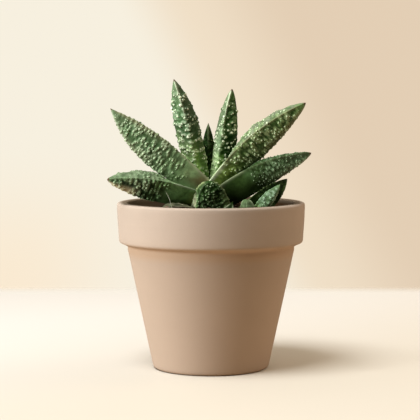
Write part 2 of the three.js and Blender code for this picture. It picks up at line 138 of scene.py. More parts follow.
# Each leaf's skin: its name, the colours of the hollows (partly painted shade in the folds), the green, the
# bloom and the foot, where the foot ends, the pearls' colour and how much they show. Then the settings that
# differ from those in leaf_skin. Then zones of another colour on the lower face. Most of them are painted
# shade or painted light where one side of the keel or one stretch of the leaf falls in shade or light, and a
# few are the skin's own brown.
# For each zone: where it fades in across and along the leaf, the colour, and how much of it.
LEAF_SKINS = {
    "leaf_centre": (
        ("dark_centre_skin", (0.003, 0.01, 0.001), (0.006, 0.024, 0.002), (0.015, 0.046, 0.01),
         (0.01, 0.035, 0.003), 0.15, (0.34, 0.45, 0.24), 0.8),
        dict(keel_line=0.3, edge=(0.012, 0.03, 0.006), gloss=0.7, shine=0.03)),
    "leaf_centre_left": (
        ("pearled_lime_foot_skin", (0.035, 0.08, 0.028), (0.08, 0.155, 0.07), (0.14, 0.22, 0.13),
         (0.38, 0.62, 0.2), 0.38, BRIGHT_PEARL, 0.9),
        dict(keel_line=0.45, edge=(0.1, 0.15, 0.08), edge_share=0.3, rim=(0.5, 0.6, 0.36), crest=0.95,
             shine=0.06),
        (0.28, 0.42, 0.5, 0.8, (0.03, 0.062, 0.026), 0.6), (0.45, 0.7, 0.7, 0.5, (0.03, 0.07, 0.02), 0.6),
        (0.5, 0.2, 0.6, 0.4, (0.42, 0.55, 0.34), 0.3), (0.27, 0.1, 0.72, 0.9, (0.11, 0.16, 0.09), 0.6)),
    "leaf_centre_right": (
        ("dark_lime_foot_skin", (0.014, 0.05, 0.008), (0.055, 0.13, 0.035), (0.15, 0.24, 0.12),
         (0.26, 0.5, 0.1), 0.32, BRIGHT_PEARL, 0.95),
        dict(keel_line=0.6, edge=(0.1, 0.14, 0.07), edge_share=0.3, rim=(0.3, 0.45, 0.16), crest=0.45,
             shine=0.06),
        (-0.35, -0.6, 0.5, 0.75, (0.13, 0.18, 0.105), 0.75), (-0.1, -0.6, 0.55, 0.35, (0.5, 0.7, 0.36), 0.6),
        (-0.1, -0.5, 0.8, 0.55, (0.42, 0.55, 0.36), 0.25),
        (0.0, 0.25, 0.7, 0.56, (0.003, 0.026, 0.001), 0.85)),
    "leaf_back": (("back_skin", *REAR), MATT),
    "leaf_upper_right": (
        ("yellow_foot_skin", (0.02, 0.052, 0.009), (0.1, 0.18, 0.056), (0.2, 0.28, 0.14), (0.19, 0.29, 0.06),
         0.22, (0.48, 0.58, 0.4), 0.8),
        dict(blush=((0.3, 0.24, 0.12), 0.1), edge=WARM_EDGE, edge_share=0.35, rim=(0.52, 0.62, 0.42),
             rim_share=0.95, shine=0.1, upper=((0.12, 0.14, 0.1), 0.72)),
        (-0.5, 0.1, 0.35, 0.6, (0.19, 0.18, 0.11), 0.5), (-0.4, 0.0, 0.45, 0.25, (0.025, 0.06, 0.003), 0.6),
        (-0.75, -0.95, 0.4, 0.15, (0.5, 0.6, 0.4), 0.8)),
    "leaf_upper_left": (
        ("grey_foot_skin", (0.034, 0.07, 0.026), (0.085, 0.158, 0.07), (0.21, 0.285, 0.175),
         (0.17, 0.27, 0.125), 0.34, (0.47, 0.57, 0.41), 0.62),
        dict(edge=WARM_EDGE, edge_share=0.3, rim=(0.34, 0.38, 0.24), rim_share=0.7, shine=0.1),
        (0.35, -0.1, 0.35, 0.65, (0.24, 0.26, 0.17), 0.5), (0.7, 1.0, 0.5, 0.75, (0.14, 0.13, 0.075), 0.6),
        (0.3, -0.3, 0.6, 0.3, (0.36, 0.5, 0.3), 0.85), (-2.0, -1.9, 0.72, 0.9, (0.05, 0.08, 0.035), 0.65),
        (0.2, 0.7, 0.3, 0.12, (0.11, 0.085, 0.035), 0.85)),
    "leaf_back_left": (("back_left_skin", *REAR), MATT),
    "leaf_back_right": (("back_right_skin", *REAR), MATT),
    "leaf_lower_right": (
        ("deep_green_skin", (0.01, 0.025, 0.005), (0.045, 0.095, 0.034), (0.13, 0.21, 0.12),
         (0.02, 0.042, 0.009), 0.45, (0.34, 0.45, 0.3), 0.42),
        dict(blush=((0.06, 0.04, 0.012), 0.14), edge=(0.1, 0.1, 0.05), edge_share=0.25, rim=(0.25, 0.3, 0.18),
             rim_share=0.5, shine=0.1, upper=((0.015, 0.035, 0.01), 0.7)),
        (-0.5, 0.1, 0.5, 0.75, (0.14, 0.125, 0.08), 0.5), (-0.2, -0.7, 0.6, 0.8, (0.03, 0.05, 0.022), 0.75),
        (-0.7, -0.35, 0.85, 0.6, (0.012, 0.022, 0.004), 0.8),
        (-0.8, -1.0, 0.2, 0.08, (0.28, 0.26, 0.17), 0.6),
        (-0.8, -0.1, 0.65, 0.4, (0.006, 0.013, 0.002), 0.85)),
    "leaf_lower_left": (
        ("ridged_skin", (0.006, 0.018, 0.004), (0.05, 0.1, 0.04), (0.13, 0.19, 0.11), (0.17, 0.33, 0.12),
         0.44, (0.4, 0.5, 0.34), 0.5),
        dict(blush=((0.14, 0.13, 0.01), 0.2), edge=(0.13, 0.2, 0.1), edge_share=0.6, rim=(0.42, 0.55, 0.38),
             shine=0.1, upper=((0.15, 0.205, 0.125), 0.75)),
        (0.6, 0.2, 0.65, 0.85, (0.4, 0.37, 0.25), 0.75), (0.6, 0.2, 0.55, 0.3, (0.03, 0.045, 0.002), 0.65)),
    "leaf_front": (
        ("short_front_skin", (0.007, 0.022, 0.003), (0.026, 0.07, 0.015), (0.08, 0.15, 0.06),
         (0.02, 0.05, 0.006), 0.1, (0.4, 0.55, 0.32), 0.85),
        dict(keel_line=0.1, edge=(0.3, 0.36, 0.18), edge_share=0.8, rim=(0.3, 0.36, 0.18), shine=0.04,
             tip=(0.02, 0.05, 0.012)),
        (-2.0, -1.9, 0.7, 0.95, (0.006, 0.018, 0.002), 0.7), (-0.5, -0.6, 0.75, 0.5, (0.14, 0.28, 0.08), 0.6),
        (-0.66, -0.74, 0.85, 0.6, (0.3, 0.3, 0.2), 0.85), (0.55, 0.85, 0.85, 0.6, (0.13, 0.21, 0.075), 0.75)),
    "leaf_old_left": (
        ("old_leaf_skin", (0.03, 0.036, 0.02), (0.07, 0.08, 0.045), (0.16, 0.16, 0.1), (0.14, 0.13, 0.075),
         0.3, (0.4, 0.4, 0.3), 0.5),
        dict(edge=(0.36, 0.34, 0.24), edge_share=0.6)),
    "offset_leaf_inner": (
        ("young_bright_skin", (0.08, 0.15, 0.065), (0.14, 0.25, 0.125), (0.24, 0.36, 0.26), (0.2, 0.34, 0.07),
         0.12, (0.42, 0.55, 0.4), 0.4),
        dict(keel_line=0.0, edge=(0.1, 0.18, 0.08), edge_share=0.2, rim_share=0.0, shine=0.05)),
    "offset_leaf_outer": (
        ("young_dark_skin", (0.004, 0.01, 0.001), (0.008, 0.02, 0.002), (0.02, 0.038, 0.007),
         (0.008, 0.018, 0.002), 0.3, (0.3, 0.38, 0.2), 0.2),
        dict(keel_line=0.0, edge=(0.1, 0.14, 0.05), edge_share=0.5, rim=(0.12, 0.17, 0.06), rim_share=0.6,
             shine=0.1)),
    "offset_leaf_round": (
        ("young_round_skin", (0.03, 0.05, 0.02), (0.05, 0.085, 0.035), (0.08, 0.12, 0.06),
         (0.05, 0.085, 0.035), 0.2, (0.3, 0.4, 0.24), 0.4),
        dict(keel_line=0.0, edge=(0.3, 0.38, 0.24), edge_share=0.8, shine=0.1)),
    "offset_leaf_side": (
        ("young_side_skin", (0.035, 0.07, 0.014), (0.09, 0.17, 0.026), (0.17, 0.27, 0.05), (0.19, 0.28, 0.05),
         0.3, (0.45, 0.58, 0.28), 0.5), {}),
    "bud_leaf_front": (
        ("bud_skin", (0.003, 0.008, 0.001), (0.006, 0.014, 0.002), (0.012, 0.026, 0.006),
         (0.008, 0.02, 0.004), 0.2, (0.1, 0.14, 0.06), 0.2),
        dict(keel_line=0.0, edge=(0.3, 0.35, 0.23), edge_share=0.9, rim=(0.3, 0.35, 0.23), rim_share=0.9,
             gloss=0.7, shine=0.02)),
    "bud_leaf_back": (
        ("bud_back_skin", (0.012, 0.03, 0.004), (0.03, 0.07, 0.01), (0.065, 0.11, 0.03), (0.045, 0.09, 0.018),
         0.2, (0.4, 0.48, 0.28), 0.5), {}),
}

# ---- helpers


def add_object(name, data):
    obj = bpy.data.objects.new(name, data)
    scene.collection.objects.link(obj)
    return obj


def ring(sides):
    """Cosine and sine of evenly spaced angles all the way round."""
    return [(math.cos(FULL_TURN * j / sides), math.sin(FULL_TURN * j / sides)) for j in range(sides)]


def put(tree, socket, value):
    """Links an input to another node's output, or sets it to a plain value."""
    if isinstance(value, bpy.types.NodeSocket):
        tree.links.new(value, socket)
    elif isinstance(value, tuple) and socket.type == "RGBA":
        socket.default_value = (*value, 1)
    else:
        socket.default_value = value


def add(tree, kind, inputs=(), **settings):
    """Adds one node, sets its properties, and sets or links its inputs."""
    node = tree.nodes.new(kind)
    for key, value in settings.items():
        setattr(node, key, value)
    for key, value in dict(inputs).items():
        put(tree, node.inputs[key], value)
    return node


def new_material(name):
    material = bpy.data.materials.new(name)
    material.use_nodes = True
    return material, material.node_tree


def paint(tree, colour, roughness, normal=None, shine=0.5):
    """Gives a material's shader its colour, its roughness, its fine relief and how much it shines."""
    shader = tree.nodes["Principled BSDF"].inputs
    put(tree, shader["Base Color"], colour)
    put(tree, shader["Roughness"], roughness)
    put(tree, shader["Specular IOR Level"], shine)
    if normal:
        put(tree, shader["Normal"], normal)


def spot(tree):
    """The place on the piece, in the piece's own coordinates."""
    return add(tree, "ShaderNodeTexCoord").outputs["Object"]


def axes(tree, vector):
    """The three parts of a vector."""
    return add(tree, "ShaderNodeSeparateXYZ", {0: vector}).outputs


def speckle(tree, scale, detail=3, roughness=0.55, vector=None):
    """Noise from about 0.3 to 0.7. The scale is the number of its cells in a metre."""
    inputs = {"Vector": vector or spot(tree), "Scale": scale, "Detail": detail, "Roughness": roughness}
    return add(tree, "ShaderNodeTexNoise", inputs).outputs["Fac"]


def attribute(tree, name):
    return add(tree, "ShaderNodeAttribute", attribute_name=name).outputs["Fac"]


def fade(tree, value, low, high, to_low=0.0, to_high=1.0):
    """A smooth rise of value from low to high."""
    inputs = {"Value": value, "From Min": low, "From Max": high, "To Min": to_low, "To Max": to_high}
    return add(tree, "ShaderNodeMapRange", inputs, interpolation_type="SMOOTHSTEP").outputs["Result"]


def calc(tree, operation, a, b=0.0):
    return add(tree, "ShaderNodeMath", {0: a, 1: b}, operation=operation).outputs[0]


def plus(tree, a, b):
    return calc(tree, "ADD", a, b)


def times(tree, product, *factors):
    for factor in factors:
        product = calc(tree, "MULTIPLY", product, factor)
    return product


def tint(tree, share, a, b):
    """Colour a where share is 0 and colour b where it is 1."""
    return add(tree, "ShaderNodeMix", {0: share, 6: a, 7: b}, data_type="RGBA").outputs[2]


def layered(tree, colour, *layers):
    """Lays each (share, colour) over the colour under it."""
    for share, over in layers:
        colour = tint(tree, share, colour, over)
    return colour


def scaled(colour, factor):
    return tuple(part * factor for part in colour)


def bump(tree, height, distance, strength, under=None):
    """Fine relief from a height, over the relief under it."""
    inputs = {"Height": height, "Distance": distance, "Strength": strength}
    if under:
        inputs["Normal"] = under
    return add(tree, "ShaderNodeBump", inputs).outputs["Normal"]


# ---- leaf skins

# Cells of the noises in a metre.
PATCHES = 130
FLECKS = 620
BLOTCHES = 260


def leaf_skin(name, hollow, green, bloom, foot, foot_end, pearl, pearls, zones, keel_line=0.4,
              edge=(0.2, 0.17, 0.1), edge_share=0.4, rim=(0.42, 0.42, 0.28), rim_share=0.8, crest=0.0,
              blush=None, upper=None, gloss=0.42, shine=0.2, tip=(0.07, 0.04, 0.022)):
    """Skin of one leaf: near black in the folds, partly the skin's dark green and partly painted shade, green
    to grey on their tops, a smooth plain foot with a pale rim, pale pearls, brownish warts along the margins
    and a dry brown tip. The zones are mostly painted shade and painted light on the lower face. Blush is a
    colour at the foot and where it ends, and upper is a colour for the upper face and how much of it."""
    material, tree = new_material(name)
    patches = speckle(tree, PATCHES)
    flecks = speckle(tree, FLECKS, 4, 0.6)
    along, folds, warty, margin = (attribute(tree, key) for key in ("along", "folds", "warty_here", "margin"))
    upper_face = attribute(tree, "upper_face") if upper or zones else None
    ragged = plus(tree, along, times(tree, calc(tree, "SUBTRACT", patches, 0.5), 0.25))
    near_foot = fade(tree, ragged, foot_end + 0.2, foot_end - 0.1)
    top = layered(tree, green, (fade(tree, patches, 0.36, 0.66), bloom),
                  (fade(tree, flecks, 0.42, 0.62, 0.0, 0.35), scaled(bloom, 1.4)),
                  (near_foot, scaled(foot, 1.15)))
    hollow = tint(tree, near_foot, hollow, scaled(foot, 0.65))
    folded = tint(tree, fade(tree, folds, 0.0, 0.6), hollow, top)
    mottled = times(tree, fade(tree, patches, 0.35, 0.65, 0.45, 1.0), fade(tree, flecks, 0.35, 0.6, 0.5, 1.0))
    plain = layered(tree, scaled(foot, 0.6), (mottled, scaled(foot, 1.35)),
                    (fade(tree, ragged, foot_end - 0.12, foot_end + 0.1), green))
    if blush:
        blush_colour, end = blush
        plain = tint(tree, times(tree, fade(tree, ragged, end, end * 0.3), 0.8), plain, blush_colour)
    colour = tint(tree, warty, plain, folded)
    if crest:
        crests = times(tree, fade(tree, folds, 0.45, 0.85), fade(tree, along, 0.75, 0.3, 0.0, crest), warty)
        colour = tint(tree, crests, colour, pearl)
    if upper:
        upper_colour, share = upper
        blotches = fade(tree, speckle(tree, BLOTCHES, 3, 0.6), 0.4, 0.62, 0.35 * share, share)
        colour = tint(tree, times(tree, upper_face, blotches), colour, upper_colour)
    # Zones on the lower face: mostly painted shade and painted light, a few the skin's own brown.
    for across_from, across_to, along_from, along_to, zone_colour, share in zones:
        across = fade(tree, attribute(tree, "side"), across_from, across_to)
        lower_face = calc(tree, "SUBTRACT", 1.0, upper_face)
        amount = times(tree, across, lower_face, fade(tree, ragged, along_from, along_to, 0.0, share))
        colour = tint(tree, amount, colour, zone_colour)
    keel = times(tree, attribute(tree, "keel"), fade(tree, along, 0.55, 0.95, 0.0, keel_line))
    bare_rim = times(tree, margin, fade(tree, along, 0.6, 0.3, 0.0, rim_share), fade(tree, warty, 0.5, 0.0))
    raised = times(tree, fade(tree, attribute(tree, "wart"), 0.3, 0.95), attribute(tree, "pale"), pearls)
    colour = layered(tree, colour, (keel, pearl), (times(tree, margin, warty, edge_share), edge),
                     (bare_rim, rim), (raised, pearl), (fade(tree, along, 0.972, 0.995), tip))
    surface = bump(tree, patches, 0.0006, 0.3, bump(tree, flecks, 0.00012, 0.5))
    paint(tree, colour, fade(tree, flecks, 0.3, 0.7, gloss - 0.06, gloss + 0.14), surface, shine)
    return material


# ---- leaf meshes

GRID = 0.42  # the step between rows and between stations
MARGIN_STEPS = np.array([0, 0.14, 0.32, 0.6, 0.95, 1.35])  # from the margin to the closest rows of points
SLIM = 4  # under this half width the bead and the steps at the margin shrink
THINNEST = 0.02  # half width of the leaf at its very tip
CROWDING = 1.15  # how much the rows of the lower face crowd towards the margin
KEEL_ROUND = 1.35
BEAD_HEIGHT = 0.14
BEAD_REACH = 0.32
SWELLS = ((9, 0, 0.8), (3.6, 3, 0.4))  # size, shift of the seed, and height


def leaf_line(leaf, stations):
    """Points on the middle line, their directions, and the share of the length at each."""
    share = np.linspace(0, 1, stations)
    yaw = math.radians(leaf["yaw"])
    first, last = leaf["rise"]

    def direction(at):
        rise = np.radians(first + (last - first) * at)
        return np.stack([np.cos(rise) * math.cos(yaw), np.cos(rise) * math.sin(yaw), np.sin(rise)], -1)

    steps = direction((share[1:] + share[:-1]) / 2) * leaf["length"] / (stations - 1)
    points = np.vstack([[0, 0, 0], np.cumsum(steps, 0)]) + np.array(leaf["base"], float)
    return points, direction(share), share


def leaf_outline(leaf, share):
    """The width at each share of the length, as a share of the greatest width."""
    from_tip = 1 - share
    tip = (1 - (1 - np.minimum(from_tip / leaf["widest"], 1)) ** 2) ** leaf["blunt"]
    to_base = np.maximum((from_tip - leaf["widest"]) / (1 - leaf["widest"]), 0)
    return tip * (1 - (1 - leaf["base_share"]) * to_base**2)


def smooth(value, low, high):
    x = np.clip((value - low) / (high - low), 0, 1)
    return x * x * (3 - 2 * x)


def leaf_rings(leaf, stations):
    """Points of every section, with what the skin and the warts read: share, margin, keel and face."""
    points, directions, share = leaf_line(leaf, stations)
    share = share[:, None]
    outline = leaf_outline(leaf, share)
    outline[-1] = 0
    half = np.maximum(leaf["width"] / 2 * outline, THINNEST)
    crown = leaf["crown"] * leaf["width"] * outline * (0.15 + 0.85 * smooth(share, 0.2, 0.6))
    keel = leaf["keel"] * outline**0.9 * (1 - 0.25 * (1 - share) ** 3)
    offset = leaf["keel_offset"]
    slim = np.minimum(1, half / SLIM)
    near = MARGIN_STEPS * slim / half
    inner = 1 - near[:, -1:]
    rows = int(leaf["width"] / GRID)
    left_rows = np.linspace(0, 1, max(4, round(rows * (1 + offset) / 2)))[1:]
    right_rows = np.linspace(0, 1, max(4, round(rows * (1 - offset) / 2)))[:-1]
    left_rows = 1 - (1 - left_rows) ** CROWDING
    right_rows = right_rows**CROWDING
    upper = np.hstack([1 - near, inner * np.linspace(1, -1, rows)[1:-1], -(1 - near[:, ::-1])])
    lower_left = -inner + (offset + inner) * left_rows
    lower_right = offset + (inner - offset) * right_rows[1:]
    lower = np.hstack([-(1 - near[:, 1:]), lower_left, lower_right, 1 - near[:, :0:-1]])
    x = np.hstack([upper, lower])
    is_lower = np.hstack([np.zeros_like(upper), np.ones_like(lower)])
    margin_distance = (1 - np.abs(x)) * half
    bead = BEAD_HEIGHT * slim * margin_distance / BEAD_REACH
    bead = bead * np.exp(1 - margin_distance / BEAD_REACH) * (1 - 0.8 * smooth(share, 0.25, 0.5))
    from_keel = np.where(x > offset, (x - offset) / (1 - offset), (offset - x) / (1 + offset))
    height_upper = crown * (1 - x**2) + bead
    height_lower = -keel * (1 - from_keel**KEEL_ROUND) - bead
    up = np.where(is_lower > 0, height_lower, height_upper)
    yaw, roll = math.radians(leaf["yaw"]), math.radians(leaf["roll"])
    level = np.array([-math.sin(yaw), math.cos(yaw), 0.0])
    upright = np.cross(directions, level)
    across_axis = level * math.cos(roll) + upright * math.sin(roll)
    up_axis = -level * math.sin(roll) + upright * math.cos(roll)
    aside = x * half
    places = points[:, None] + aside[..., None] * across_axis[:, None] + up[..., None] * up_axis[:, None]
    return {
        "co": places,
        "share": np.broadcast_to(share, x.shape),
        "margin": margin_distance,
        "keel": np.where(is_lower > 0, np.abs(x - offset) * half, 99.0),
        "lower": is_lower,
        "side": x,
        "half": np.broadcast_to(half, x.shape),
        "across": np.broadcast_to(across_axis[:, None], places.shape),
        "aside": aside,
        "tip": points[-1],
        "foot": points[0],
    }


def ring_normals(co):
    """Outward directions at the points of a stack of rings."""
    along = np.gradient(co, axis=0)
    around = np.roll(co, -1, 1) - np.roll(co, 1, 1)
    normal = np.cross(around, along)
    normal /= np.linalg.norm(normal, axis=-1, keepdims=True) + 1e-9
    outward = co - co.mean(1, keepdims=True)
    return normal * np.sign((normal * outward).sum(-1).mean())


def uneven(places, scale, seed):
    """Smooth noise at each place, from about -0.5 to 0.5."""
    flat = places.reshape(-1, 3) / scale + seed * 7.31
    return np.array([noise.noise(Vector(p)) for p in flat]).reshape(places.shape[:-1])


def mesh_object(name, vertices, faces, attributes=(), material=None):
    """A smooth mesh from places in millimetres, with the numbers or vectors that its points carry."""
    mesh = bpy.data.meshes.new(name)
    mesh.from_pydata([tuple(v) for v in np.asarray(vertices) * MM], [], faces)
    for key, values in dict(attributes).items():
        values = np.asarray(values, np.float32)
        kind, field = ("FLOAT_VECTOR", "vector") if values.ndim == 2 else ("FLOAT", "value")
        mesh.attributes.new(key, kind, "POINT").data.foreach_set(field, values.ravel())
    mesh.polygons.foreach_set("use_smooth", [True] * len(mesh.polygons))
    mesh.update()
    if material:
        mesh.materials.append(material)
    return add_object(name, mesh)


def ring_faces(rings, size):
    """Quads between rings, then a fan at each end onto the two points that follow the rings."""
    nexts = [(j, (j + 1) % size) for j in range(size)]
    last = (rings - 1) * size
    faces = []
    for low in range(0, last, size):
        faces += [(low + j, low + k, low + size + k, low + size + j) for j, k in nexts]
    for j, k in nexts:
        faces += [(k, j, rings * size), (last + j, last + k, rings * size + 1)]
    return faces


def leaf_blank(name, leaf, seed):
    """The leaf without its warts, with the attributes that place and colour them."""
    start, end = leaf["warts_from"], leaf["warts_to"]
    rings = leaf_rings(leaf, max(24, int(leaf["length"] / GRID)))
    share, margin, co = rings["share"], rings["margin"], rings["co"]
    inside = 1 - np.exp(-((margin / 1.2) ** 2))
    off_keel = 1 - 0.7 * np.exp(-((rings["keel"] / 1.2) ** 2))
    plump = min(1, leaf["width"] / 18)
    swell = sum(uneven(co, size * plump, seed + shift) * height * plump for size, shift, height in SWELLS)
    wanted = smooth(share, start - 0.05, start + 0.1)
    swell = swell * inside * off_keel * (0.35 + 0.65 * wanted) * (1 - share**10)
    co = co + ring_normals(co) * swell[..., None]
    co[-1] = rings["tip"]
    ragged = share + uneven(co, 6, seed + 5) * 0.16
    warty = smooth(ragged, start, start + 0.13) * (1 - smooth(ragged, end - 0.06, end + 0.02))
    warty = warty * (0.75 + 0.25 * smooth(margin, 0.0, 0.8)) * smooth(rings["half"], 0.6, 2.0)
    warty = warty * np.where(rings["lower"] > 0, 1.0, UPPER_WARTS.get(name, 1.0))
    reach = 0.42 + 0.2 * (1 - smooth(share, 0.15, 0.5))
    flat = np.stack([
        share * leaf["length"] + 0.9 * uneven(co, 5, seed + 9),
        rings["aside"] + 0.9 * uneven(co, 5, seed + 13),
        np.zeros_like(rings["aside"]),
    ], -1)
    body = len(co) - 1
    vertices = np.vstack([co[:body].reshape(-1, 3), rings["foot"][None], rings["tip"][None]])

    def pointwise(values, at_foot=0.0, at_tip=0.0):
        return np.concatenate([values[:body].reshape(-1, *values.shape[2:]), [at_foot], [at_tip]])

    middle = rings["across"][0, 0]
    return mesh_object(name + "_skin", vertices, ring_faces(body, co.shape[1]), {
        "along": pointwise(share, 0.0, 1.0),
        "margin": pointwise(np.exp(-((margin / reach) ** 2))),
        "side": pointwise(rings["side"]),
        "upper_face": pointwise(1 - rings["lower"]),
        "keel": pointwise(np.exp(-((rings["keel"] / 0.5) ** 2))),
        "warty_here": pointwise(warty),
        "wart_size": pointwise(0.4 + 0.6 * smooth(rings["half"], 1.0, 4.5)),
        "across": pointwise(rings["across"], middle, middle),
        "flat": pointwise(flat, flat[0, 0], flat[-1, 0]),
    })


# ---- warts, scattered over the leaves

PEARL_DENSITY = 3e6  # points in a square metre, before those that stand too close are taken out
PEARL_STRETCH = 1.35
# The two sowings of pearls: their share of the size and of the spacing, the range of sizes, the seed's shift.
SOWINGS = ((1.0, 1.0, 0.75, 1.25, 0.0), (0.55, 0.7, 0.7, 1.2, 11.0))


def wart_shape():
    """One low dome with a flared rim that sinks into the skin."""
    sides = 7
    rows = [(1.2, -0.35), (0.92, 0.2), (0.5, 0.78)]
    vertices = [(radius * x, radius * y, up) for radius, up in rows for x, y in ring(sides)]
    vertices += [(0, 0, -0.4), (0, 0, 0.97)]
    height = [0.0] * sides + [0.4] * sides + [1.0] * sides + [0.0, 1.0]
    dome = mesh_object("wart", np.array(vertices) / MM, ring_faces(len(rows), sides), {"wart": height})
    dome.hide_render = True
    return dome


def new_geometry_tree(name, kinds):
    """A Geometry Nodes tree with named inputs of these kinds, and what they hand in."""
    tree = bpy.data.node_groups.new(name, "GeometryNodeTree")
    for in_out in ("INPUT", "OUTPUT"):
        tree.interface.new_socket("Geometry", in_out=in_out, socket_type="NodeSocketGeometry")
    for label, kind in kinds.items():
        tree.interface.new_socket(label, in_out="INPUT", socket_type="NodeSocket" + kind)
    return tree, tree.nodes.new("NodeGroupInput").outputs


def close_tree(tree, parts, material):
    """Joins the parts, makes the instances real, sets the material and hands the whole out."""
    joined = add(tree, "GeometryNodeJoinGeometry")
    for part in parts:
        put(tree, joined.inputs[0], part)
    real = add(tree, "GeometryNodeRealizeInstances", {"Geometry": joined.outputs[0]})
    whole = add(tree, "GeometryNodeSetMaterial", {"Geometry": real.outputs[0], "Material": material})
    add(tree, "NodeGroupOutput", {0: whole.outputs[0]})
    return tree


def named(tree, name, data_type="FLOAT"):
    return add(tree, "GeometryNodeInputNamedAttribute", {"Name": name}, data_type=data_type).outputs[0]


def sow(tree, mesh, factor, spacing, density, seed):
    """Points spread over a mesh, no two closer than spacing."""
    return add(tree, "GeometryNodeDistributePointsOnFaces", {
        "Mesh": mesh, "Distance Min": spacing, "Density Max": density, "Density Factor": factor, "Seed": seed,
    }, distribute_method="POISSON")


def random_between(tree, low, high, seed):
    return add(tree, "FunctionNodeRandomValue", {2: low, 3: high, "Seed": seed}, data_type="FLOAT").outputs[1]


def stored(tree, geometry, name, value):
    inputs = {"Geometry": geometry, "Name": name, "Value": value}
    return add(tree, "GeometryNodeStoreNamedAttribute", inputs, data_type="FLOAT").outputs["Geometry"]


def scattered(tree, points, key, value, shape, rotation, scale):
    """Copies of a shape on points, with a number stored at each."""
    points = stored(tree, points, key, value)
    inputs = {"Points": points, "Instance": shape, "Rotation": rotation, "Scale": scale}
    return add(tree, "GeometryNodeInstanceOnPoints", inputs).outputs["Instances"]


def combined(tree, *parts):
    """A vector from its parts."""
    return add(tree, "ShaderNodeCombineXYZ", dict(enumerate(parts))).outputs[0]


def shape_of(tree, given_object):
    return add(tree, "GeometryNodeObjectInfo", {"Object": given_object}).outputs["Geometry"]


def fold_height(tree, flat, cell, stretch, seed):
    """Rounded cells drawn out across the leaf, 0 in the hollows between them and 1 on their tops."""
    along, aside, _ = axes(tree, flat)
    lengthways = plus(tree, calc(tree, "DIVIDE", along, cell), times(tree, seed, 3.7))
    sideways = calc(tree, "DIVIDE", aside, times(tree, cell, stretch))
    cells = add(tree, "ShaderNodeTexVoronoi", {
        "Vector": combined(tree, lengthways, sideways), "Scale": 1.0, "Randomness": 0.85,
    }, voronoi_dimensions="2D", feature="F1")
    return fade(tree, cells.outputs["Distance"], 0.62, 0.08)


def wart_tree():
    """Folds the skin of a leaf into rows of warts, and sows pearls on them, drawn out across the leaf."""
    tree, given = new_geometry_tree("leaf_warts", {
        "Wart": "Object", "Fold": "Float", "Fold stretch": "Float", "Fold height": "Float",
        "Spacing": "Float", "Size": "Float", "Stretch": "Float", "Height": "Float", "Seed": "Int",
        "Skin": "Material"})
    warty = named(tree, "warty_here")
    local_size = named(tree, "wart_size")
    flat = named(tree, "flat", "FLOAT_VECTOR")
    big, small = (fold_height(tree, flat, cell, given["Fold stretch"], given["Seed"])
                  for cell in (given["Fold"], times(tree, given["Fold"], 0.5)))
    both = plus(tree, times(tree, big, 0.78), times(tree, small, 0.22))
    kept = stored(tree, given["Geometry"], "folds", both)
    folds = named(tree, "folds")
    rise = times(tree, calc(tree, "SUBTRACT", folds, 0.35), given["Fold height"], warty, local_size)
    normal = add(tree, "GeometryNodeInputNormal").outputs[0]
    offset = add(tree, "ShaderNodeVectorMath", {0: normal, "Scale": rise}, operation="SCALE").outputs[0]
    folded = add(tree, "GeometryNodeSetPosition", {"Geometry": kept, "Offset": offset}).outputs[0]
    dome = shape_of(tree, given["Wart"])
    parts = [folded]
    on_tops = times(tree, warty, fade(tree, folds, 0.3, 0.65))
    for share, spacing_share, low, high, shift in SOWINGS:
        seed = plus(tree, given["Seed"], shift)
        sown = sow(tree, folded, on_tops, times(tree, given["Spacing"], spacing_share), PEARL_DENSITY, seed)
        upright = add(tree, "FunctionNodeAlignRotationToVector", {"Vector": sown.outputs["Normal"]}, axis="Z")
        inputs = {"Rotation": upright.outputs[0], "Vector": named(tree, "across", "FLOAT_VECTOR")}
        turned = add(tree, "FunctionNodeAlignRotationToVector", inputs, axis="X", pivot_axis="Z").outputs[0]
        wide = random_between(tree, low, high, plus(tree, seed, 1.0))
        size = times(tree, wide, local_size, given["Size"], share)
        longer = random_between(tree, 0.8, given["Stretch"], plus(tree, seed, 2.0))
        scale = combined(tree, times(tree, size, longer), size, times(tree, size, given["Height"]))
        pale = random_between(tree, 0.35, 1.1, plus(tree, seed, 3.0))
        parts.append(scattered(tree, sown.outputs["Points"], "pale", pale, dome, turned, scale))
    return close_tree(tree, parts, given["Skin"])


def grown(blank, tree, values, name):
    """Runs a tree on an object and returns the plain mesh that it makes, in place of the blank."""
    modifier = blank.modifiers.new(tree.name, "NODES")
    modifier.node_group = tree
    for item in tree.interface.items_tree:
        if item.item_type == "SOCKET" and item.in_out == "INPUT" and item.name in values:
            modifier[item.identifier] = values[item.name]
    blank.update_tag()
    bpy.context.view_layer.update()
    mesh = bpy.data.meshes.new_from_object(blank.evaluated_get(bpy.context.evaluated_depsgraph_get()))
    mesh.name = name
    blank.modifiers.remove(modifier)
    old = blank.data
    bpy.data.objects.remove(blank)
    bpy.data.meshes.remove(old)
    return add_object(name, mesh)


def settle(obj, nodes):
    """Hands a finished piece to the frame: it rides on the root and stands for its CAD nodes."""
    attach(obj, "root")
    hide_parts(*nodes)


def make_leaves():
    dome = wart_shape()
    tree = wart_tree()
    leaves = []
    for seed, name in enumerate(LEAVES, 1):
        leaf = dict(zip(LEAF_KEYS, LEAVES[name]))
        skin, settings, *zones = LEAF_SKINS[name]
        made = grown(leaf_blank(name, leaf, seed), tree, {
            "Wart": dome, "Fold": leaf["fold"], "Fold stretch": leaf["stretch"],
            "Fold height": leaf["fold_height"] * MM, "Spacing": leaf["spacing"] * MM,
            "Size": leaf["pearl_size"] * MM, "Stretch": PEARL_STRETCH, "Height": leaf["pearl_height"],
            "Seed": seed * 17, "Skin": leaf_skin(*skin, zones, **settings),
        }, name + "_warty")
        settle(made, [name])
        leaves.append(made)
    bpy.data.objects.remove(dome)
    return leaves


# ---- pot

